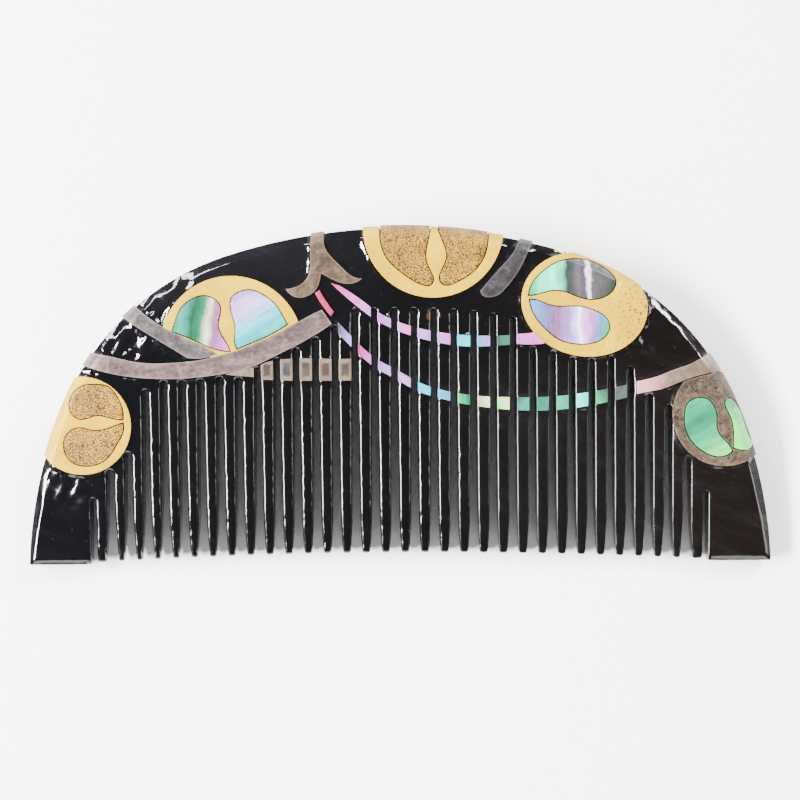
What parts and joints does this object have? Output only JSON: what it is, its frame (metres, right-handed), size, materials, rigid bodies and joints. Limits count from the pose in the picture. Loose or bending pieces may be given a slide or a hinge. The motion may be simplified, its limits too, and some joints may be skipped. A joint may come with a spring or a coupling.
{
  "type": "hair comb",
  "caption": "Half-moon lacquered hair comb with fine pointed teeth between two wide guards, inlaid with raised gold, shell and pewter.",
  "frame": {"origin": "centre of the bounding box in plan, on the plane of the flat back that the comb lies on", "axes": "+X along the comb's length, +Y from the tooth tips to the curved spine, +Z out of the decorated front face"},
  "size_m": [0.1, 0.0452, 0.0083],
  "materials": {
    "black_lacquer": "gloss",
    "gold": "satin",
    "sprinkled_gold": "rough",
    "pewter": "worn",
    "shell_pink": "gloss",
    "shell_lilac": "gloss",
    "shell_blue": "gloss",
    "shell_green": "gloss",
    "shell_cream": "gloss",
    "shell_silver": "gloss"
  },
  "bodies": {
    "root": {"band_right": "pewter", "bean_lower_left_lower": "sprinkled_gold", "bean_lower_left_upper": "sprinkled_gold", "bean_medallion_left": "shell_green", "bean_medallion_right": "shell_green", "bean_right_lower": "shell_blue", "bean_right_upper": "shell_silver", "bean_top_left": "sprinkled_gold", "bean_top_right": "sprinkled_gold", "bean_upper_left_left": "shell_green", "bean_upper_left_right": "shell_lilac", "comb_body": "black_lacquer", "disc_lower_left": "gold", "disc_right": "gold", "disc_top": "gold", "disc_upper_left": "gold", "leaf_right": "pewter", "lower_strand_tile_01": "shell_pink", "lower_strand_tile_02": "shell_lilac", "lower_strand_tile_03": "shell_pink", "lower_strand_tile_04": "shell_lilac", "lower_strand_tile_05": "shell_lilac", "lower_strand_tile_06": "shell_blue", "lower_strand_tile_07": "shell_blue", "lower_strand_tile_08": "shell_green", "lower_strand_tile_09": "shell_cream", "lower_strand_tile_10": "shell_cream", "lower_strand_tile_11": "shell_silver", "lower_strand_tile_12": "shell_green", "lower_strand_tile_13": "shell_green", "lower_strand_tile_14": "shell_blue", "lower_strand_tile_15": "shell_green", "lower_strand_tile_16": "shell_silver", "medallion": "pewter", "pewter_square_01": "pewter", "pewter_square_02": "pewter", "pewter_square_03": "pewter", "pewter_square_04": "pewter", "pewter_square_05": "pewter", "ribbon_long": "pewter", "ribbon_short": "pewter", "ribbon_wedge": "pewter", "stem_forked": "pewter", "upper_strand_tile_01": "shell_pink", "upper_strand_tile_02": "shell_pink", "upper_strand_tile_03": "shell_pink", "upper_strand_tile_04": "shell_lilac", "upper_strand_tile_05": "shell_lilac", "upper_strand_tile_06": "shell_blue", "upper_strand_tile_07": "shell_lilac", "upper_strand_tile_08": "shell_silver", "upper_strand_tile_09": "shell_pink"}
  },
  "joints": []
}
